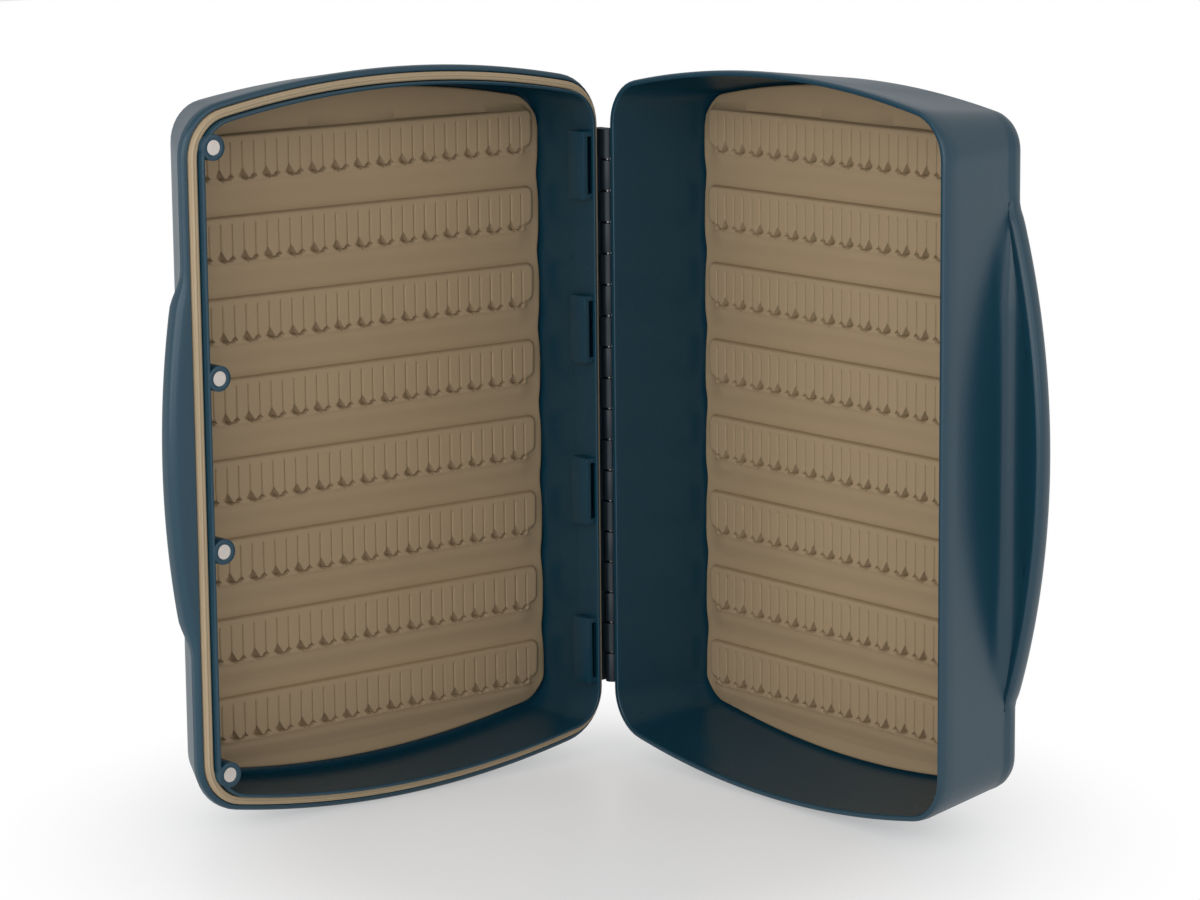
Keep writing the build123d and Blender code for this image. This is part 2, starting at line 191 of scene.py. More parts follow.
def select_ring(piece, *rings):
    """Selects the edges of whole rings."""
    mesh = bmesh.from_edit_mesh(piece.data)
    mesh.verts.ensure_lookup_table()
    wanted = set(index for ring in rings for index in ring)
    bpy.ops.mesh.select_all(action="DESELECT")
    for edge in mesh.edges:
        if edge.verts[0].index in wanted and edge.verts[1].index in wanted:
            edge.select = True
    mesh.select_flush(True)
    bmesh.update_edit_mesh(piece.data)


def skin(name, half, rings, closed=False):
    """A closed skin through rings; a closed one joins its last ring to its first."""
    places = [ring_places(half, ring) for ring in rings]
    piece = start_ring(name, places[0])
    first = list(range(len(places[0])))
    last = first
    for points in places[1:]:
        last = next_ring(piece, last, points)
    if closed:
        select_ring(piece, first, last)
        bpy.ops.mesh.bridge_edge_loops()
    else:
        for end in (first, last):
            select_ring(piece, end)
            bpy.ops.mesh.edge_face_add()
    bpy.ops.mesh.select_all(action="SELECT")
    bpy.ops.mesh.normals_make_consistent(inside=False)
    bpy.ops.object.mode_set(mode="OBJECT")
    return piece


def smooth(piece, angle):
    """Smooth shading, except over edges sharper than an angle in degrees."""
    bpy.ops.object.select_all(action="DESELECT")
    piece.select_set(True)
    bpy.context.view_layer.objects.active = piece
    bpy.ops.object.shade_smooth_by_angle(angle=radians(angle))
    bpy.ops.object.select_all(action="DESELECT")


def turn_points(count):
    """Angles of a quarter turn, both ends included."""
    return [pi / 2 * step / count for step in range(count + 1)]


# %% [markdown]
# ## The base shell
# The deep half is one moulding with tapered walls. At the back of its opening side stands a bowed
# grip, which the wall meets in a soft hollow. We draw it as rings from the floor inside, over the
# rim and down the outside, and let the points of the opening side follow the grip.

# %% Base sizes
BASE_RIM = -1.2
BASE_STRAIGHT = 2.0
BASE_SHOULDER = 38.0
BASE_BACK = 47.2
BASE_FLOOR = 45.1
BASE_NEAR_DRAFT = tan(radians(2.9))
BASE_END_DRAFT = tan(radians(6.6))
BASE_FAR_DRAFT = tan(radians(13.5))
BASE_CORNER = 13.5
BASE_EDGE = 6.0
BASE_WING_REACH = 8.6
BASE_WING_RADIUS = 265.0
BASE_WING_FRONT = 2.0
BASE_WING_REAR = 7.0
BASE_HOLLOW = 9.3
BASE_WING_LEAN = 0.5
BASE_INNER_LEVELS = (BASE_SHOULDER, 29.0, 20.0, 11.0, 2.0)
BASE_OUTER_LEVELS = (BASE_STRAIGHT, 8.0, 15.0, 22.0)
RIM_ROUND = 0.6
INNER_FILLET = 2.0
WING_FADE = 3.0
STRAIGHT_TOLERANCE = 0.01
SHELL_CREASE = 28

# steps round a quarter turn, round a fillet, round a small edge, and down a grip's hollow
QUARTER = 5
FILLET_STEPS = 4
ROUND_STEPS = 3
HOLLOW_STEPS = 7
OPENING_MIDDLE = HINGE_SIDE_POINTS // 2 + 2 * CORNER_POINTS + END_POINTS + OPENING_SIDE_POINTS // 2


def base_far(depth, inset):
    """The opening side of the base at a depth."""
    drop = min(max(depth, BASE_STRAIGHT), BASE_SHOULDER) - BASE_STRAIGHT
    return FAR - inset - drop * BASE_FAR_DRAFT


def base_ring(depth, inset):
    """Ring of the base at a depth, moved in from its outside."""
    drop = max(depth, BASE_STRAIGHT) - BASE_STRAIGHT
    share = min(drop / (BASE_SHOULDER - BASE_STRAIGHT), 1)
    corner = RIM_CORNER + (BASE_CORNER - RIM_CORNER) * share - inset
    near = NEAR + inset + drop * BASE_NEAR_DRAFT
    half = RIM_HALF - inset - drop * BASE_END_DRAFT
    return [(u, depth, z) for u, z in outline(near, base_far(depth, inset), half, corner)]


def wing_crest(z, reach, radius):
    """How far a bowed grip reaches from the hinge pin at a height."""
    return FAR + reach - radius + sqrt(radius**2 - z**2)


def base_wing_profile(z):
    """Line over the grip at a height, from the foot of its hollow to the flat back."""
    wall = base_far(BASE_SHOULDER, 0)
    crest = wing_crest(z, BASE_WING_REACH, BASE_WING_RADIUS)
    hollow = min(BASE_HOLLOW, max(crest - wall - BASE_WING_FRONT, 0))
    start = BASE_SHOULDER - BASE_HOLLOW
    line = []
    for step in range(HOLLOW_STEPS + 1):
        t = step / HOLLOW_STEPS
        corner_share = 2 * t * (1 - t)
        u = (1 - t) ** 2 * base_far(start, 0) + corner_share * wall + t**2 * (wall + hollow)
        line.append((u, (1 - t) ** 2 * start + (1 - (1 - t) ** 2) * BASE_SHOULDER))
    line.append((crest - 2 * BASE_WING_FRONT, BASE_SHOULDER - BASE_WING_LEAN))
    for turn in turn_points(QUARTER):
        u = crest - BASE_WING_FRONT * (1 - sin(turn))
        line.append((u, BASE_SHOULDER - BASE_WING_LEAN + BASE_WING_FRONT * (1 - cos(turn))))
    for turn in turn_points(QUARTER):
        u = crest - BASE_WING_REAR * (1 - cos(turn))
        line.append((u, BASE_BACK - BASE_WING_REAR * (1 - sin(turn))))
    return line


def plain_profile():
    """(depth, inset) of the same rings where no grip stands, from the hollow's foot to the flat back."""
    start = BASE_SHOULDER - BASE_HOLLOW
    line = [(start + BASE_HOLLOW * step / HOLLOW_STEPS, 0) for step in range(HOLLOW_STEPS + 1)]
    side = BASE_BACK - BASE_EDGE - BASE_SHOULDER
    steps = QUARTER + 2
    line += [(BASE_SHOULDER + side * step / steps, 0) for step in range(1, steps + 1)]
    for turn in turn_points(QUARTER):
        line.append((BASE_BACK - BASE_EDGE * (1 - sin(turn)), BASE_EDGE * (1 - cos(turn))))
    return line


def ease(value):
    """Smooth step from 0 to 1, for one value or a whole array."""
    value = np.clip(value, 0, 1)
    return value * value * (3 - 2 * value)


def with_wing(ring, index, profile, start, reach, radius, wall):
    """The ring, with its opening side moved on to the grip's profile."""
    moved = []
    for u, depth, z in ring:
        stands = wing_crest(z, reach, radius) - wall if abs(z) < radius else -1
        share = ease(stands / WING_FADE)
        straight = abs(u - ring[OPENING_MIDDLE][0]) < STRAIGHT_TOLERANCE
        if share > 0 and straight:
            goal = profile(z)[index - start]
            u += (goal[0] - u) * share
            depth += (goal[1] - depth) * share
        moved.append((u, depth, z))
    return moved


def round_over(centre_depth, inset, radius, inner):
    """(depth, inset) round one edge of a rim, inside or outside."""
    turns = turn_points(ROUND_STEPS)
    if inner:
        return [(centre_depth - radius * sin(t), inset - radius * (1 - cos(t))) for t in turns]
    return [(centre_depth - radius * cos(t), inset + radius * (1 - sin(t))) for t in turns]


# %% Base shell
def base_levels():
    """(depth, inset) of the rings from the floor inside, over the rim, to the hollow's foot."""
    fillet = [
        (BASE_FLOOR - INNER_FILLET * (1 - cos(t)), WALL + INNER_FILLET * (1 - sin(t)))
        for t in turn_points(FILLET_STEPS)
    ]
    inside = [(depth, WALL) for depth in BASE_INNER_LEVELS]
    rim_in = round_over(BASE_RIM + RIM_ROUND, WALL, RIM_ROUND, True)
    rim_out = round_over(BASE_RIM + RIM_ROUND, 0, RIM_ROUND, False)
    outside = [(depth, 0) for depth in BASE_OUTER_LEVELS]
    return fillet + inside + rim_in + rim_out + outside


def make_base_shell():
    """The base's housing, from its floor over the rim to its flat back."""
    levels = base_levels()
    start = len(levels)
    rings = [base_ring(*level) for level in levels]
    for index, level in enumerate(plain_profile(), start):
        ring = base_ring(*level)
        wall = base_far(BASE_SHOULDER, 0)
        rings.append(
            with_wing(ring, index, base_wing_profile, start, BASE_WING_REACH, BASE_WING_RADIUS, wall)
        )
    piece = skin("base_housing", "base", rings)
    smooth(piece, SHELL_CREASE)
    return piece


base_housing = make_base_shell()
print("base housing faces:", len(base_housing.data.polygons))

# %% [markdown]
# ## The lid shell
# The shallow half carries a ledge, a groove for the seal and a thin lip. Its grip stands at the rim.
# Rings draw it in the same way: floor, inner wall, lip, groove, ledge, outside and back.

# %% Lid sizes
LEDGE_DEPTH = 3.0
LID_STRAIGHT = 6.3
LID_BACK = 39.2
LID_FLOOR = 36.7
LID_NEAR_DRAFT = tan(radians(4.1))
LID_END_DRAFT = tan(radians(8.2))
LID_FAR_ANGLE = radians(28.8)
LID_FAR_DRAFT = tan(LID_FAR_ANGLE)
LID_FAR_WALL = WALL / cos(LID_FAR_ANGLE)
LID_CORNER = 14.0
LID_EDGE = 6.0
LID_WING_REACH = LID_LAP + 7.8
LID_WING_RADIUS = 336.0
LID_WING_REAR_DEPTH = 11.7
LID_WING_FRONT = 3.3
LID_WING_REAR = 3.0
LID_WING_ROOT = 1.2
LID_WING_RUN = 0.4
GROOVE = 0.15
GROOVE_EDGE_DEPTH = 0.1
GROOVE_EDGE_WIDTH = 0.08
LEDGE_ROUND = 1.5
LEDGE_ROUND_NEAR = 0.05
LIP_OUTER = 3.8
LIP_INNER = 5.0
LIP_TOP = -1.3
GROOVE_DEPTH = 4.5
RECESS = 1.6
RECESS_TOP = 11.0
LIP_ROUND = 0.35
LIP_FOOT = 2.0
LID_WELL_LEVELS = (28.0, 20.0, RECESS_TOP)
LIP_WALL_LEVELS = (RECESS_TOP, 6.0, LIP_FOOT)
LID_WING_LEVELS = (4.9, 5.4, 5.9, LID_STRAIGHT, 7.4, 8.8, 10.4, 12.4)
LID_OUTER_LEVELS = (16.0, 22.0, 28.0)


def lid_ring(depth, inset):
    """Ring of the lid's outside at a depth."""
    drop = max(depth, LID_STRAIGHT) - LID_STRAIGHT
    share = min(drop / (LID_BACK - LID_STRAIGHT), 1)
    rim_corner = RIM_CORNER + LID_LAP
    corner = rim_corner + (LID_CORNER - rim_corner) * share - inset
    near = NEAR + inset + drop * LID_NEAR_DRAFT
    far = LID_FAR - inset - drop * LID_FAR_DRAFT
    half = LID_HALF - inset - drop * LID_END_DRAFT
    return [(u, depth, z) for u, z in outline(near, far, half, corner)]


def ledge_ring(depth, inset):
    """Ring round the rounded edge of the ledge, which is narrow on the hinge side."""
    if depth >= LID_STRAIGHT:
        return lid_ring(depth, inset)
    near = NEAR + inset * LEDGE_ROUND_NEAR / LEDGE_ROUND
    ring = outline(near, LID_FAR - inset, LID_HALF - inset, RIM_CORNER + LID_LAP - inset)
    return [(u, depth, z) for u, z in ring]


def lid_well_ring(depth, inset, recess):
    """Ring of the well inside the lip; the wall's taper takes over where it comes further in."""
    drop = max(depth, LID_STRAIGHT) - LID_STRAIGHT
    near = NEAR + max(LIP_INNER - recess, WALL + drop * LID_NEAR_DRAFT) + inset
    far = min(FAR - LIP_INNER, LID_FAR - LID_FAR_WALL - drop * LID_FAR_DRAFT) - inset
    half = min(RIM_HALF - LIP_INNER, LID_HALF - WALL - drop * LID_END_DRAFT) - inset
    return [(u, depth, z) for u, z in outline(near, far, half, RIM_CORNER - LIP_INNER - inset)]


def lid_wing_profile(z):
    """Line over the lid's grip at a height, from the ledge to the wall behind it."""
    crest = wing_crest(z, LID_WING_REACH, LID_WING_RADIUS)
    line = []
    for turn in turn_points(QUARTER):
        u = crest - LID_WING_FRONT * (1 - sin(turn))
        line.append((u, LEDGE_DEPTH + LID_WING_FRONT * (1 - cos(turn))))
    for turn in turn_points(QUARTER):
        u = crest - LID_WING_REAR * (1 - cos(turn))
        line.append((u, LID_WING_REAR_DEPTH - LID_WING_REAR * (1 - sin(turn))))
    root = LID_FAR - (LID_WING_REAR_DEPTH - LID_STRAIGHT) * LID_FAR_DRAFT
    line.append((root + LID_WING_ROOT, LID_WING_REAR_DEPTH))
    line.append((root - LID_WING_RUN, LID_WING_REAR_DEPTH + 1.0))
    return line


def lid_plain_levels():
    """(depth, inset) of the same rings where no grip stands."""
    turns = turn_points(QUARTER)
    edge = [(LEDGE_DEPTH + LEDGE_ROUND * (1 - cos(t)), LEDGE_ROUND * (1 - sin(t))) for t in turns]
    return edge + [(depth, 0) for depth in LID_WING_LEVELS]


# %% Lid shell
def make_lid_shell():
    """The lid's housing, from its floor over lip, groove and ledge to its back."""
    floor_fillet = [
        lid_well_ring(LID_FLOOR - INNER_FILLET * (1 - cos(t)), INNER_FILLET * (1 - sin(t)), RECESS)
        for t in turn_points(FILLET_STEPS)
    ]
    well = [lid_well_ring(depth, 0, RECESS) for depth in LID_WELL_LEVELS]
    lip_wall = [lid_well_ring(depth, 0, 0) for depth in LIP_WALL_LEVELS]
    lip_in = [
        lid_well_ring(LIP_TOP + LIP_ROUND * (1 - sin(t)), -LIP_ROUND * (1 - cos(t)), 0)
        for t in turn_points(ROUND_STEPS)
    ]
    lip_out = [
        rim_ring(LIP_TOP + LIP_ROUND * (1 - cos(t)), LIP_OUTER + LIP_ROUND * (1 - sin(t)))
        for t in turn_points(ROUND_STEPS)
    ]
    groove_corners = ((LIP_FOOT, LIP_OUTER), (GROOVE_DEPTH, LIP_OUTER), (GROOVE_DEPTH, GROOVE))
    groove = [rim_ring(*corner) for corner in groove_corners]
    ledge = [
        rim_ring(LEDGE_DEPTH + GROOVE_EDGE_DEPTH, GROOVE),
        rim_ring(LEDGE_DEPTH, GROOVE - GROOVE_EDGE_WIDTH),
    ]
    rings = floor_fillet + well + lip_wall + lip_in + lip_out + groove + ledge
    start = len(rings)
    for index, level in enumerate(lid_plain_levels(), start):
        ring = ledge_ring(*level)
        rings.append(
            with_wing(ring, index, lid_wing_profile, start, LID_WING_REACH, LID_WING_RADIUS, LID_FAR)
        )
    rings += [lid_ring(depth, 0) for depth in LID_OUTER_LEVELS]
    rings += [
        lid_ring(LID_BACK - LID_EDGE * (1 - sin(t)), LID_EDGE * (1 - cos(t))) for t in turn_points(QUARTER)
    ]
    piece = skin("lid_housing", "lid", rings)
    smooth(piece, SHELL_CREASE)
    return piece


lid_housing = make_lid_shell()
print("lid housing faces:", len(lid_housing.data.polygons))

# %% [markdown]
# ## The seal
# A soft ring with a stepped crown lies in the lid's groove. Its section is drawn as rings too, and
# the last ring is bridged to the first.


# %% Seal
# (depth, inset) round the section, from its outer foot over the step and the crown to its inner foot
SEAL_SECTION = (
    (4.4, 0.55), (2.5, 0.55), (2.2, 0.65), (2.1, 0.9), (2.1, 1.15), (1.85, 1.3), (1.6, 1.35),
    (1.45, 1.5), (1.4, 1.75), (1.46, 2.1), (1.58, 2.3), (1.46, 2.5), (1.4, 2.8), (1.43, 3.15),
    (1.6, 3.4), (1.9, 3.48), (4.4, 3.48),
)
SEAL_CREASE = 40


def make_seal():
    """The ring that lies in the lid's groove."""
    rings = [rim_ring(depth, inset) for depth, inset in SEAL_SECTION]
    piece = skin("seal_ring", "lid", rings, closed=True)
    smooth(piece, SEAL_CREASE)
    return piece


seal_ring = make_seal()
print("seal faces:", len(seal_ring.data.polygons))

# %% [markdown]
# ## The mats
# Each mat is one soft moulding: a sheet with rows of raised islands, cut by fine slits into fingers.
# Every second finger has a free rounded tip with a hollow round it, and the one between runs on into
# a low ramp. The surface is a height above a plane, so a grid is the right start: its lines are
# packed closely where the fingers are, and each point is then lifted to its height.

# %% Mat sizes
MAT_NEAR = 7.1
MAT_FAR = 171.35
MAT_HALF = 127.85
MAT_CORNER = 11.0
MAT_SHEET = 2.8
ROW_COUNT = 8
ROW_PITCH = 30.0
ROW_HEIGHT = 16.8
ROW_RISE = 2.7
ROW_NEAR = 10.2
ROW_FAR = 167.9
TIP_FIRST = 97.8
PAIR_COUNT = 14
PAIR_PITCH = 10.3
PAIR_FIRST = 23.0
SLIT_TOP = 14.0
MAT_SURFACE = {"base": 42.0, "lid": 33.6}
MAT_CREASE = 60

# %% Mat relief sizes
# the outline: where an end starts to bow, how far a corner's pull is felt, and the wave of the sides
BOW_START = 113.7
CORNER_REACH = 15.0
MAT_WAVE = 1.1
WAVE_END = 112.0
WAVE_FADE = 8.0
# the rounded edge of the sheet, and how far it falls there
MAT_ROUND = 0.8
MAT_ROUND_DROP = 0.9
# the islands: corners, feet, and how softly they rise along the top and at the ends
ROW_CORNER = 4.8
ROW_FOOT = 5.4
FOOT_FADE = 5.0
FOOT_DROP = 1.6
TOP_ROUND = 1.0
END_ROUND = 3.2
ROW_REACH = 4.0
# the swell below the tips
SWELL_TOP = 2.15
SWELL_START = 10.2
SWELL_LENGTH = 8.4
SWELL_FADE = 10.0
SWELL_AT_EDGE = 0.4
SWELL_EDGE_FADE = 1.6
# the pockets: heights of their tops at the wide and the narrow side, and at the finger's point
WIDE_TOP = 4.3
NARROW_TOP = 2.4
TIP_GAP = 0.45
WIDE_CURVE = 1.35
NARROW_CURVE = 1.7
WIDE_SLANT = 1.95
NARROW_SLANT = 1.3
# their foot line across a pair: height and slope at the wide slit, then from each place on
FOOT_HEIGHT = 0.33
FOOT_SLOPE = 0.545
FOOT_TURNS = ((-1.7, -0.6, -0.75), (-2.75, 0.19, 0.38), (-4.0, -0.28, -0.58))
FOOT_SOFT = 0.8
TOP_SOFT = 0.45
POCKET_SINK = 0.1
# the slits, given by their share of the depth at distances from their middle
SLIT_DEPTH = 0.75
SLIT_DISTANCES = (0, 0.13, 0.4)
SLIT_SHARES = (1, 0.3, 0)
LAST_FINGER = 0.9

# %% Mat grid lines
# lines across one pair of fingers, from its wide pocket
PAIR_LINES = (
    -6.3, -5.85, -5.5, -5.27, -5.15, -5.03, -4.7, -4.2, -3.6, -2.9, -2.2, -1.6, -1.1, -0.6,
    -0.13, 0.0, 0.13, 0.6, 1.1, 1.7, 2.6,
)
# lines from a side of the mat, and from the near and the far end of a row
MAT_EDGE_LINES = (0, 0.15, 0.4, 0.8, 1.7)
ROW_END_LINES = (-0.3, 0, 0.4, 0.9, 1.4, 1.9, 2.5, 3.1, 3.8, 4.8)
ROW_FAR_LINES = ROW_END_LINES[:6]
# lines from the lower and the upper end of the mat
MAT_LOWER_LINES = (0, 0.2, 0.6, 1.3, 2.8, 4.8, 6.8, 8.8)
MAT_UPPER_LINES = (7.9, 7.0, 6.1, 5.2, 4.3, 3.3, 2.3, 1.3, 0.6, 0.2, 0)
# lines along one row, from its finger tips
ROW_LINES = (
    -10.2, -8.0, -6.0, -4.4, -3.0, -1.6, -1.1, -0.6, -0.2, 0.1, 0.4, 0.8, 1.2, 1.6, 2.0, 2.4, 2.8,
    3.2, 3.6, 4.0, 4.4, 4.8, 9.2, 13.2, 13.9, 14.1, 15.2, 15.8, 16.2, 16.55, 16.7, 16.8, 17.2,
)


def mat_lines():
    """Grid lines across and along a mat."""
    across = [MAT_NEAR + line for line in MAT_EDGE_LINES]
    across += [ROW_NEAR + line for line in ROW_END_LINES]
    for pair in range(PAIR_COUNT):
        across += [PAIR_FIRST + pair * PAIR_PITCH + line for line in PAIR_LINES]
    last = PAIR_FIRST + PAIR_COUNT * PAIR_PITCH
    across += [last + line for line in PAIR_LINES if line < -PAIR_PITCH / 4]
    across += [ROW_FAR - line for line in reversed(ROW_FAR_LINES)]
    across += [MAT_FAR - line for line in reversed(MAT_EDGE_LINES)]
    along = [-MAT_HALF + line for line in MAT_LOWER_LINES]
    for row in reversed(range(ROW_COUNT)):
        along += [TIP_FIRST - row * ROW_PITCH + line for line in ROW_LINES]
    along += [MAT_HALF - line for line in MAT_UPPER_LINES]
    return np.array(across), np.array(along)


print("grid lines across and along:", *(len(lines) for lines in mat_lines()))

# %% [markdown]
# The grid is laid out straight. Its ends are then bowed, its corners rounded and its long sides set
# in a slight wave, by moving the points near the border and leaving the fingers where they are.


# %% Mat outline
def bowed(u, z):
    """Heights with the last stretch towards each end stretched to the bow."""
    radius = END_RADIUS - (RIM_HALF - MAT_HALF)
    end = MAT_HALF - radius + np.sqrt(radius**2 - (u - RIM_MIDDLE) ** 2)
    share = (end - BOW_START) / (MAT_HALF - BOW_START)
    stretched = np.sign(z) * (BOW_START + (np.abs(z) - BOW_START) * share)
    return np.where(np.abs(z) > BOW_START, stretched, z)


def shape_grid():
    """(u, z) of the grid points as laid out, and again where the mat's outline puts them."""
    across, along = mat_lines()
    u, z = np.meshgrid(across, along)
    z_in = bowed(u, z)
    corner_z = end_height(MAT_NEAR, MAT_HALF) - MAT_CORNER
    beyond = np.clip(np.abs(z_in) - corner_z, 0, MAT_CORNER)
    pull = MAT_CORNER - np.sqrt(np.maximum(MAT_CORNER**2 - beyond**2, 0))
    wave = MAT_WAVE * (1 - np.cos(2 * pi * (z - TIP_FIRST - ROW_HEIGHT / 2) / ROW_PITCH)) / 2
    pull = pull + wave * ease((WAVE_END - np.abs(z)) / WAVE_FADE)
    from_near = np.clip(1 - (u - MAT_NEAR) / CORNER_REACH, 0, 1)
    from_far = np.clip(1 - (MAT_FAR - u) / CORNER_REACH, 0, 1)
    u_in = u + pull * from_near - pull * from_far
    return u, z, u_in, bowed(u_in, z)


# %% Mat relief
def island_height(u, z):
    """Raised islands with rounded tops and ends, and the long low swell below their tips."""
    row = np.clip(np.round((TIP_FIRST - z + ROW_REACH) / ROW_PITCH), 0, ROW_COUNT - 1)
    dz = z - (TIP_FIRST - row * ROW_PITCH)
    top = ROW_HEIGHT - dz
    side = np.minimum(u - ROW_NEAR, ROW_FAR - u)
    from_side = np.maximum(ROW_CORNER - side, 0)
    from_top = np.maximum(ROW_CORNER - top, 0)
    inside = ROW_CORNER - np.hypot(from_side, from_top)
    foot_out = np.hypot(np.maximum(ROW_FOOT - side, 0), np.maximum(ROW_FOOT - dz, 0))
    at_foot = (side < ROW_FOOT) & (dz < ROW_FOOT)
    inside = np.where(at_foot, np.minimum(inside, ROW_FOOT - foot_out), inside)
    # crisp along the top, soft at the ends
    crisp = from_top**2 / (from_side**2 + from_top**2 + 1e-9)
    t = np.clip(inside / (END_ROUND + (TOP_ROUND - END_ROUND) * crisp), 0, 1)
    island = ROW_RISE * (crisp * np.sqrt(1 - (1 - t) ** 2) + (1 - crisp) * ease(t))
    # the mat swells up to the tips and sinks again over the height of the row
    swell = np.where(dz < 0, ease((dz + SWELL_START) / SWELL_LENGTH), 1 - ease(dz / ROW_HEIGHT))
    at_edge = ease((side + ROW_NEAR - MAT_NEAR) / SWELL_EDGE_FADE)
    at_end = SWELL_AT_EDGE + (1 - SWELL_AT_EDGE) * ease(side / SWELL_FADE)
    swell = SWELL_TOP * swell * at_edge * at_end
    foot = ease((dz + FOOT_DROP) / FOOT_DROP) * ease((side - ROW_FOOT + FOOT_FADE / 2) / FOOT_FADE)
    below = swell + (ROW_RISE - SWELL_TOP) * foot
    return np.where(dz < 0, below, np.maximum(island, swell)), dz


def finger_cut(u, dz):
    """Share of the height that the pockets and slits take away, from 0 to 1."""
    half = PAIR_PITCH / 2
    pair = np.round((u - PAIR_FIRST + half / 2) / PAIR_PITCH)
    du = u - PAIR_FIRST - pair * PAIR_PITCH
    # the free finger's tip is a rounded point, its neighbours are cut on a slant
    across_tip = (du + half / 2) / (half / 2)
    to_wide = TIP_GAP + (WIDE_TOP - TIP_GAP) * np.clip(across_tip, 0, 1) ** WIDE_CURVE
    to_narrow = TIP_GAP + (NARROW_TOP - TIP_GAP) * np.clip(-across_tip, 0, 1) ** NARROW_CURVE
    ceiling = np.where(across_tip > 0, to_wide, to_narrow)
    ceiling = np.where(du > 0, WIDE_TOP - WIDE_SLANT * du, ceiling)
    ceiling = np.where(du < -half, NARROW_TOP + NARROW_SLANT * (du + half), ceiling)
    floor = FOOT_HEIGHT + FOOT_SLOPE * du
    for turn, height, slope in FOOT_TURNS:
        floor = np.where(du < turn, height + slope * (du - turn), floor)
    pocket = np.minimum(ease((dz - floor) / FOOT_SOFT), ease((ceiling - dz) / TOP_SOFT))
    last = (pair == PAIR_COUNT) & (du > LAST_FINGER - half)
    exists = (pair >= 0) & (pair <= PAIR_COUNT) & ~last
    from_slit = np.minimum(np.abs(du), np.abs(du + half))
    slit = np.interp(from_slit, SLIT_DISTANCES, SLIT_SHARES) * (dz > 0) * (dz < SLIT_TOP)
    return np.where(exists, pocket, 0), np.where(exists, slit, 0)


def mat_heights():
    """(u, z, height above the sheet) of every grid point."""
    u, z, u_in, z_in = shape_grid()
    height, dz = island_height(u_in, z_in)
    pocket, slit = finger_cut(u, dz)
    height = height * (1 - pocket) - POCKET_SINK * pocket
    height = height - SLIT_DEPTH * slit * (1 - pocket)
    rim = np.minimum.reduce([u - MAT_NEAR, MAT_FAR - u, MAT_HALF - np.abs(z)])
    t = np.clip(rim / MAT_ROUND, 0, 1)
    return u_in, z_in, height - MAT_ROUND_DROP * (1 - np.sqrt(1 - (1 - t) ** 2))


# %% The mats
def make_mat(half):
    """One half's mat: a grid lifted to its heights, with sides and an underside."""
    u, z, height = mat_heights()
    rows, columns = u.shape
    bpy.ops.mesh.primitive_grid_add(x_subdivisions=columns - 1, y_subdivisions=rows - 1, size=1)
    piece = bpy.context.object
    piece.name = f"{half}_mat"
    piece.data.name = piece.name
    along, into = HALVES[half]
    depth = MAT_SURFACE[half] - height.ravel()
    base = np.array(HINGE) + np.outer(u.ravel(), along) + np.outer(depth, into)
    base[:, 2] += z.ravel()
    piece.data.vertices.foreach_set("co", (base * MM).ravel())
    piece.data.update()
    # sides and underside, from the grid's border
    bpy.ops.object.mode_set(mode="EDIT")
    bpy.ops.mesh.select_all(action="SELECT")
    bpy.ops.mesh.region_to_loop()
    bpy.ops.mesh.extrude_region_move()
    mesh = bmesh.from_edit_mesh(piece.data)
    under = MAT_SURFACE[half] + MAT_SHEET
    for vertex in [v for v in mesh.verts if v.select]:
        from_hinge = vertex.co / MM - HINGE
        vertex.co += into * (under - from_hinge.dot(into)) * MM
    bmesh.update_edit_mesh(piece.data)
    bpy.ops.mesh.edge_face_add()
    bpy.ops.mesh.select_all(action="SELECT")
    bpy.ops.mesh.normals_make_consistent(inside=False)
    bpy.ops.object.mode_set(mode="OBJECT")
    smooth(piece, MAT_CREASE)
    return piece


mats = {half: make_mat(half) for half in HALVES}
print("mat faces:", len(mats["base"].data.polygons))

# %% [markdown]
# ## Magnet bosses and catch sockets
# Small round towers carry the magnets, and four pads with slots stand on the lid's hinge side. Each
# is modelled once from a primitive, by inset and extrude, and then copied to its places.

# %% Small lid parts
MAGNET_PLACES = (114.4, 31.6, -31.6, -114.4)
MAGNET_U = FAR - 8.6
MAGNET_SEEN = 2.7
BOSS_CRIMP = 0.2
BOSS_POINTS = 48
BOSS_RADIUS = 4.7
BOSS_LENGTH = 13.5
SOCKET_PITCH = 63.2
SOCKET_LENGTH = 26.0
SOCKET_WIDTH = 5.3
SOCKET_DEPTH = 9.3
SOCKET_TOP = -0.1
SLOT_LENGTH = 22.0
SLOT_WIDTH = 2.0
SLOT_DEPTH = 7.0
SLOT_SHIFT = -0.45
SLOT_INSET = 1.2
SOCKET_COUNT = 4
BOSS_ROUND = 0.35
SMALL_ROUND = 0.25
SMALL_CREASE = 35


def to_half(piece, half, u, depth, z):
    """Moves a piece modelled at the origin, its x along u, its y along z and its z out of the half."""
    along, into = HALVES[half]
    for vertex in piece.data.vertices:
        x, y, out = vertex.co / MM
        vertex.co = (HINGE + along * (u + x) + into * (depth - out) + Vector((0, 0, z + y))) * MM


def select_top(piece):
    """Selects the highest face in edit mode."""
    bpy.ops.mesh.select_all(action="DESELECT")
    mesh = bmesh.from_edit_mesh(piece.data)
    max(mesh.faces, key=lambda face: face.calc_center_median().z).select = True
    mesh.select_flush(True)
    bmesh.update_edit_mesh(piece.data)


def bevelled(piece, width, segments):
    """Rounds a piece's sharp edges."""
    bpy.context.view_layer.objects.active = piece
    rounding = piece.modifiers.new("rounding", "BEVEL")
    rounding.width = width * MM
    rounding.segments = segments
    rounding.limit_method = "ANGLE"
    bpy.ops.object.modifier_apply(modifier=rounding.name)


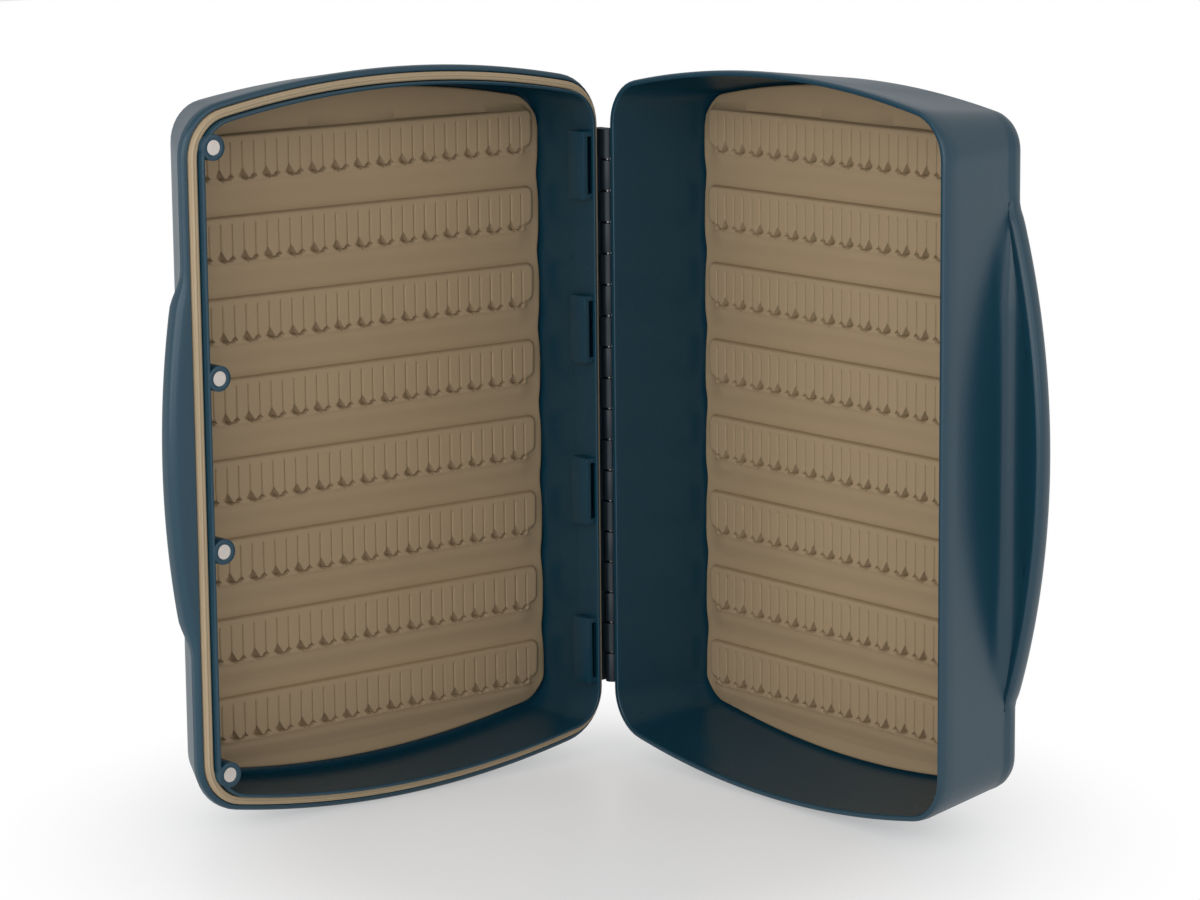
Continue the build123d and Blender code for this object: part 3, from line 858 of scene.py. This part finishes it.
def make_boss():
    """A round tower with a shallow seat in its top."""
    bpy.ops.mesh.primitive_cylinder_add(vertices=BOSS_POINTS, radius=BOSS_RADIUS * MM, depth=BOSS_LENGTH * MM)
    piece = bpy.context.object
    bpy.ops.object.mode_set(mode="EDIT")
    select_top(piece)
    bpy.ops.mesh.inset(thickness=(BOSS_RADIUS - MAGNET_SEEN) * MM, depth=0)
    bpy.ops.mesh.extrude_region_move(TRANSFORM_OT_translate={"value": (0, 0, -2 * BOSS_CRIMP * MM)})
    bpy.ops.object.mode_set(mode="OBJECT")
    bevelled(piece, BOSS_ROUND, 2)
    return piece


def make_socket():
    """A pad with a deep slot in its top."""
    bpy.ops.mesh.primitive_cube_add(size=MM, scale=(SOCKET_WIDTH, SOCKET_LENGTH, SOCKET_DEPTH))
    piece = bpy.context.object
    bpy.ops.object.transform_apply(location=True, rotation=True, scale=True)
    bpy.ops.object.mode_set(mode="EDIT")
    select_top(piece)
    bpy.ops.mesh.inset(thickness=SLOT_INSET * MM, depth=0)
    mesh = bmesh.from_edit_mesh(piece.data)
    for vertex in [v for v in mesh.verts if v.select]:
        vertex.co.x = (SLOT_SHIFT + (SLOT_WIDTH / 2 if vertex.co.x > 0 else -SLOT_WIDTH / 2)) * MM
        vertex.co.y = (SLOT_LENGTH / 2 if vertex.co.y > 0 else -SLOT_LENGTH / 2) * MM
    bmesh.update_edit_mesh(piece.data)
    bpy.ops.mesh.extrude_region_move(TRANSFORM_OT_translate={"value": (0, 0, -SLOT_DEPTH * MM)})
    bpy.ops.object.mode_set(mode="OBJECT")
    bevelled(piece, SMALL_ROUND, 2)
    return piece


def copies(make, name, half, u, depth, heights):
    """One piece for each height, each with its own mesh."""
    made = []
    model = make()
    for number, z in enumerate(heights, start=1):
        piece = model if number == len(heights) else model.copy()
        if piece is not model:
            piece.data = model.data.copy()
            bpy.context.collection.objects.link(piece)
        piece.name = f"{name}_{number}"
        piece.data.name = piece.name
        to_half(piece, half, u, depth, z)
        smooth(piece, SMALL_CREASE)
        made.append(piece)
    return made


boss_depth = LIP_TOP - BOSS_CRIMP + BOSS_LENGTH / 2
bosses = copies(make_boss, "magnet_boss", "lid", MAGNET_U, boss_depth, MAGNET_PLACES)
socket_heights = [SOCKET_PITCH * ((SOCKET_COUNT - 1) / 2 - step) for step in range(SOCKET_COUNT)]
socket_u = NEAR + LIP_OUTER + SOCKET_WIDTH / 2
socket_depth = SOCKET_TOP + SOCKET_DEPTH / 2
sockets = copies(make_socket, "catch_socket", "lid", socket_u, socket_depth, socket_heights)
print("bosses and sockets:", len(bosses) + len(sockets))

# %% [markdown]
# ## Hinge knuckles
# Eighteen short barrels take turns on the pin. A barrel starts as a cylinder; a block beside it is
# the arm that ties it to its shell. The lid's arms stand on one long web.

# %% Knuckles
KNUCKLE_COUNT = 18
KNUCKLE_LENGTH = 11.2
HINGE_LENGTH = 216.5
BARREL_RADIUS = 2.5
BARREL_POINTS = 32
ARM_END = 3.2
ARM_TOP = 0.8
WEB_BACK = 7.2
WEB_CHAMFER = 2.0


def knuckle_heights(first):
    """Heights of every second knuckle."""
    pitch = (HINGE_LENGTH - KNUCKLE_LENGTH) / (KNUCKLE_COUNT - 1)
    return [(index - (KNUCKLE_COUNT - 1) / 2) * pitch for index in range(first, KNUCKLE_COUNT, 2)]


def make_block(left, right, length, low, high):
    """A block along y between two x and two z."""
    bpy.ops.mesh.primitive_cube_add(size=MM, scale=(right - left, length, high - low))
    block = bpy.context.object
    bpy.ops.object.transform_apply(location=True, rotation=True, scale=True)
    for vertex in block.data.vertices:
        vertex.co += Vector(((left + right) / 2, 0, (low + high) / 2)) * MM
    return block


def make_knuckle(left, right, low, high):
    """A barrel along y with an arm between two x and two z."""
    arm = make_block(left, right, KNUCKLE_LENGTH, low, high)
    bpy.ops.mesh.primitive_cylinder_add(
        vertices=BARREL_POINTS,
        radius=BARREL_RADIUS * MM,
        depth=KNUCKLE_LENGTH * MM,
        rotation=(pi / 2, 0, 0),
    )
    barrel = bpy.context.object
    bpy.ops.object.transform_apply(location=True, rotation=True, scale=True)
    union = barrel.modifiers.new("union", "BOOLEAN")
    union.operation = "UNION"
    union.solver = "EXACT"
    union.object = arm
    bpy.ops.object.modifier_apply(modifier=union.name)
    bpy.data.objects.remove(arm)
    bevelled(barrel, SMALL_ROUND, 2)
    return barrel


def base_knuckle():
    """A knuckle whose arm reaches the base's rim."""
    return make_knuckle(0, ARM_END, -BARREL_RADIUS, ARM_TOP)


def lid_knuckle():
    """A knuckle whose arm stands on the lid's web."""
    return make_knuckle(-BARREL_RADIUS, BARREL_RADIUS, -LEDGE_DEPTH, 0)


def lid_web():
    """The long bar behind the lid's knuckles, with its free edge chamfered."""
    bar = make_block(-BARREL_RADIUS, ARM_END, HINGE_LENGTH, -WEB_BACK, -LEDGE_DEPTH)
    bpy.ops.object.mode_set(mode="EDIT")
    bpy.ops.mesh.select_all(action="DESELECT")
    mesh = bmesh.from_edit_mesh(bar.data)
    for edge in mesh.edges:
        middle = (edge.verts[0].co + edge.verts[1].co) / 2
        # only the free edge has its middle this far out both ways
        edge.select = middle.x < -BARREL_RADIUS * MM * 0.9 and middle.z < -WEB_BACK * MM * 0.9
    bmesh.update_edit_mesh(bar.data)
    bpy.ops.mesh.bevel(offset=WEB_CHAMFER * MM, segments=1)
    bpy.ops.object.mode_set(mode="OBJECT")
    bevelled(bar, SMALL_ROUND, 2)
    return bar


base_knuckles = copies(base_knuckle, "base_knuckle", "base", 0, 0, knuckle_heights(0))
lid_knuckles = copies(lid_knuckle, "lid_knuckle", "lid", 0, 0, knuckle_heights(1))
hinge_web = copies(lid_web, "hinge_web", "lid", 0, 0, [0])[0]
print("knuckles:", len(base_knuckles) + len(lid_knuckles))

# %% [markdown]
# ## Finishes
# A fine grain is shared by all moulded parts, so it is one node group with its own sockets. Each
# material then holds its own Principled shader.


# %% Shared grain
def make_grain():
    """Node group: slow tone drift and fine grain from the piece's own coordinates."""
    group = bpy.data.node_groups.new("moulded_grain", "ShaderNodeTree")
    for name, kind in (("Fine Scale", "NodeSocketFloat"), ("Drift Scale", "NodeSocketFloat")):
        group.interface.new_socket(name, in_out="INPUT", socket_type=kind)
    for name in ("Grain", "Drift"):
        group.interface.new_socket(name, in_out="OUTPUT", socket_type="NodeSocketFloat")
    nodes, links = group.nodes, group.links
    inputs = nodes.new("NodeGroupInput")
    outputs = nodes.new("NodeGroupOutput")
    coordinates = nodes.new("ShaderNodeTexCoord")
    fine = nodes.new("ShaderNodeTexNoise")
    drift = nodes.new("ShaderNodeTexNoise")
    fine.inputs["Detail"].default_value = 3
    drift.inputs["Detail"].default_value = 2
    for noise, scale, result in ((fine, "Fine Scale", "Grain"), (drift, "Drift Scale", "Drift")):
        links.new(coordinates.outputs["Object"], noise.inputs["Vector"])
        links.new(inputs.outputs[scale], noise.inputs["Scale"])
        links.new(noise.outputs["Fac"], outputs.inputs[result])
    return group


grain_group = make_grain()


def colour(red, green, blue):
    """Linear colour from one written as 0 to 255."""
    levels = [channel / 255 for channel in (red, green, blue)]
    return [c / 12.92 if c <= 0.04045 else ((c + 0.055) / 1.055) ** 2.4 for c in levels] + [1]


def moulded(name, light, dark, rough, bump, fine, drift):
    """A moulded finish: two close tones, slightly uneven gloss and a fine bump."""
    material = bpy.data.materials.new(name)
    material.use_nodes = True
    nodes, links = material.node_tree.nodes, material.node_tree.links
    shader = nodes["Principled BSDF"]
    # a grained surface mirrors less at a glancing angle than a polished one
    facing = nodes.new("ShaderNodeLayerWeight")
    facing.inputs["Blend"].default_value = 0.5
    mirror = nodes.new("ShaderNodeMapRange")
    mirror.inputs["From Min"].default_value = 0.45
    mirror.inputs["From Max"].default_value = 0.9
    mirror.inputs["To Min"].default_value = 0.45
    mirror.inputs["To Max"].default_value = 0.02
    links.new(facing.outputs["Facing"], mirror.inputs["Value"])
    links.new(mirror.outputs["Result"], shader.inputs["Specular IOR Level"])
    grain = nodes.new("ShaderNodeGroup")
    grain.node_tree = grain_group
    grain.inputs["Fine Scale"].default_value = fine
    grain.inputs["Drift Scale"].default_value = drift
    tone = nodes.new("ShaderNodeMix")
    tone.data_type = "RGBA"
    tone.inputs["A"].default_value = dark
    tone.inputs["B"].default_value = light
    links.new(grain.outputs["Drift"], tone.inputs["Factor"])
    links.new(tone.outputs["Result"], shader.inputs["Base Color"])
    gloss = nodes.new("ShaderNodeMapRange")
    gloss.inputs["To Min"].default_value = rough[0]
    gloss.inputs["To Max"].default_value = rough[1]
    links.new(grain.outputs["Drift"], gloss.inputs["Value"])
    links.new(gloss.outputs["Result"], shader.inputs["Roughness"])
    relief = nodes.new("ShaderNodeBump")
    relief.inputs["Strength"].default_value = bump
    relief.inputs["Distance"].default_value = 0.0002
    links.new(grain.outputs["Grain"], relief.inputs["Height"])
    links.new(relief.outputs["Normal"], shader.inputs["Normal"])
    return material


# %% Materials
shell_plastic = moulded(
    "satin_teal_plastic", colour(18, 60, 77), colour(15, 54, 70), (0.24, 0.32), 0.10, 1800, 14
)
# a darker copy of the teal plastic for the knuckles and web: painted shade for the hinge strip, which lies in
# shade between the halves
hinge_plastic_painted_shade = moulded(
    "hinge_plastic_painted_shade", colour(11, 30, 40), colour(9, 25, 34), (0.4, 0.5), 0.10, 1800, 14
)
mat_rubber = moulded(
    "soft_tan_rubber", colour(160, 139, 109), colour(152, 131, 102), (0.72, 0.82), 0.30, 2600, 20
)
seal_rubber = moulded(
    "pale_tan_seal", colour(172, 153, 124), colour(163, 144, 116), (0.45, 0.55), 0.15, 2400, 25
)
magnet_metal = moulded(
    "nickel_plate", colour(214, 206, 200), colour(196, 188, 182), (0.25, 0.45), 0.35, 2200, 600
)
pin_steel = moulded(
    "pin_steel", colour(150, 150, 152), colour(120, 120, 122), (0.25, 0.35), 0.05, 2500, 60
)
film = moulded(
    "adhesive_film", colour(220, 218, 210), colour(210, 208, 200), (0.4, 0.5), 0.05, 2000, 30
)
for metal in (magnet_metal, pin_steel):
    metal.node_tree.nodes["Principled BSDF"].inputs["Metallic"].default_value = 1


def dress(piece, material):
    """Gives a piece one material."""
    piece.data.materials.clear()
    piece.data.materials.append(material)


for piece in (base_housing, lid_housing, *bosses, *sockets):
    dress(piece, shell_plastic)
# the knuckles and web take the darker copy of the teal: painted shade
for piece in (*base_knuckles, *lid_knuckles, hinge_web):
    dress(piece, hinge_plastic_painted_shade)
for piece in mats.values():
    dress(piece, mat_rubber)
dress(seal_ring, seal_rubber)
for name, node in frame["nodes"].items():
    if name.startswith("lid_magnet"):
        dress(node, magnet_metal)
    elif name.endswith("adhesive"):
        dress(node, film)
    elif name == "hinge_pin":
        dress(node, pin_steel)
print("materials:", len(bpy.data.materials))

# %% [markdown]
# ## What moves with what
# Every piece rides on the base or on the lid and already has its finish; the CAD nodes that the pieces redraw
# are hidden.

# %% Riding
for piece in (base_housing, mats["base"], *base_knuckles):
    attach(piece, "base")
for piece in (lid_housing, mats["lid"], seal_ring, *bosses, *sockets, *lid_knuckles, hinge_web):
    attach(piece, "lid")
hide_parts("base_shell")
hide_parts("lid_shell")
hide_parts("base_insert")
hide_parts("lid_insert")
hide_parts("lid_gasket")

# %% [markdown]
# ## Studio
# The floor is pale and fades to white around the box, so that it keeps the box's shadow. The world
# gives soft light, and is plain white wherever the camera sees it, directly or mirrored.

# %% Floor and world
FLOOR_SIZE = 8.0
FADE_START = 0.08
FADE_END = 0.23
FADE_LEAST = 0.35
WORLD_STRENGTH = 0.45


def seen_white(nodes, links):
    """Value that is 1 for rays from the camera or from a mirroring surface."""
    rays = nodes.new("ShaderNodeLightPath")
    seen = nodes.new("ShaderNodeMath")
    seen.operation = "MAXIMUM"
    links.new(rays.outputs["Is Camera Ray"], seen.inputs[0])
    links.new(rays.outputs["Is Glossy Ray"], seen.inputs[1])
    return seen.outputs["Value"]


def make_floor():
    """A large pale plane that turns to plain white away from the box."""
    bpy.ops.mesh.primitive_plane_add(size=FLOOR_SIZE, location=(0, 0, 0))
    floor = bpy.context.object
    floor.name = "studio_floor"
    material = bpy.data.materials.new("studio_white")
    material.use_nodes = True
    nodes, links = material.node_tree.nodes, material.node_tree.links
    shader = nodes["Principled BSDF"]
    shader.inputs["Base Color"].default_value = colour(246, 246, 247)
    shader.inputs["Roughness"].default_value = 0.35
    white = nodes.new("ShaderNodeEmission")
    white.inputs["Strength"].default_value = 1.0
    coordinates = nodes.new("ShaderNodeTexCoord")
    distance = nodes.new("ShaderNodeVectorMath")
    distance.operation = "LENGTH"
    links.new(coordinates.outputs["Object"], distance.inputs[0])
    fade = nodes.new("ShaderNodeMapRange")
    fade.interpolation_type = "SMOOTHSTEP"
    fade.inputs["From Min"].default_value = FADE_START
    fade.inputs["From Max"].default_value = FADE_END
    fade.inputs["To Min"].default_value = FADE_LEAST
    links.new(distance.outputs["Value"], fade.inputs["Value"])
    share = nodes.new("ShaderNodeMath")
    share.operation = "MULTIPLY"
    links.new(fade.outputs["Result"], share.inputs[0])
    links.new(seen_white(nodes, links), share.inputs[1])
    blend = nodes.new("ShaderNodeMixShader")
    links.new(share.outputs["Value"], blend.inputs["Fac"])
    links.new(shader.outputs["BSDF"], blend.inputs[1])
    links.new(white.outputs["Emission"], blend.inputs[2])
    links.new(blend.outputs["Shader"], nodes["Material Output"].inputs["Surface"])
    dress(floor, material)


def make_world():
    """Soft white light all round, seen as plain white."""
    world = bpy.data.worlds.new("studio")
    bpy.context.scene.world = world
    world.use_nodes = True
    nodes, links = world.node_tree.nodes, world.node_tree.links
    soft = nodes["Background"]
    soft.inputs["Color"].default_value = (1, 1, 1, 1)
    soft.inputs["Strength"].default_value = WORLD_STRENGTH
    white = nodes.new("ShaderNodeBackground")
    white.inputs["Strength"].default_value = 1.0
    blend = nodes.new("ShaderNodeMixShader")
    links.new(seen_white(nodes, links), blend.inputs["Fac"])
    links.new(soft.outputs["Background"], blend.inputs[1])
    links.new(white.outputs["Background"], blend.inputs[2])
    links.new(blend.outputs["Shader"], nodes["World Output"].inputs["Surface"])


make_floor()
make_world()

# %% [markdown]
# ## Camera
# A long lens stands well back and looks slightly down into the open box. Its place is given from the
# hinge pin, and its direction by a turn about the vertical, a tilt down and a small roll.

# %% Camera
CAMERA_FROM_HINGE = Vector((1202.25, -949.53, 264.1))
CAMERA_AZIMUTH = radians(51.846)
CAMERA_DOWN = radians(10.379)
CAMERA_ROLL = radians(-0.544)
CAMERA_LENS = 120.63
SENSOR_WIDTH = 36


def look_direction(azimuth, down):
    """Unit vector from the camera into the scene."""
    return Vector((-sin(azimuth) * cos(down), cos(azimuth) * cos(down), -sin(down)))


camera_data = bpy.data.cameras.new("camera")
camera_data.lens = CAMERA_LENS
camera_data.sensor_width = SENSOR_WIDTH
camera = bpy.data.objects.new("camera", camera_data)
bpy.context.collection.objects.link(camera)
camera.location = (HINGE + CAMERA_FROM_HINGE) * MM
camera.rotation_mode = "QUATERNION"
aim = look_direction(CAMERA_AZIMUTH, CAMERA_DOWN).to_track_quat("-Z", "Y")
camera.rotation_quaternion = aim @ Quaternion((0, 0, 1), CAMERA_ROLL)
bpy.context.scene.camera = camera
print("camera to hinge, mm:", round(CAMERA_FROM_HINGE.length))

# %% [markdown]
# ## Lamps
# Three large square lamps give soft light with broad reflections: one from the camera's side, and
# one facing into each half. A lamp is placed by its azimuth, elevation and distance from the middle.


# %% Lamps
def soft_lamp(name, azimuth, elevation, distance, size, watts):
    """A square lamp that looks at the middle of the box."""
    middle = Vector((0, 0, RIM_HALF)) * MM
    a, e = radians(azimuth), radians(elevation)
    back = Vector((sin(a) * cos(e), -cos(a) * cos(e), sin(e)))
    data = bpy.data.lights.new(name, "AREA")
    data.energy = watts
    data.size = size
    lamp = bpy.data.objects.new(name, data)
    bpy.context.collection.objects.link(lamp)
    lamp.location = middle + back * distance
    lamp.rotation_mode = "QUATERNION"
    lamp.rotation_quaternion = (-back).to_track_quat("-Z", "Y")


soft_lamp("front_lamp", 48, 16, 1.8, 1.4, 10)
soft_lamp("right_lamp", 100, 20, 1.6, 1.2, 4)
soft_lamp("left_lamp", 2, 16, 1.6, 1.2, 9)

scene = bpy.context.scene
scene.view_settings.view_transform = "Standard"
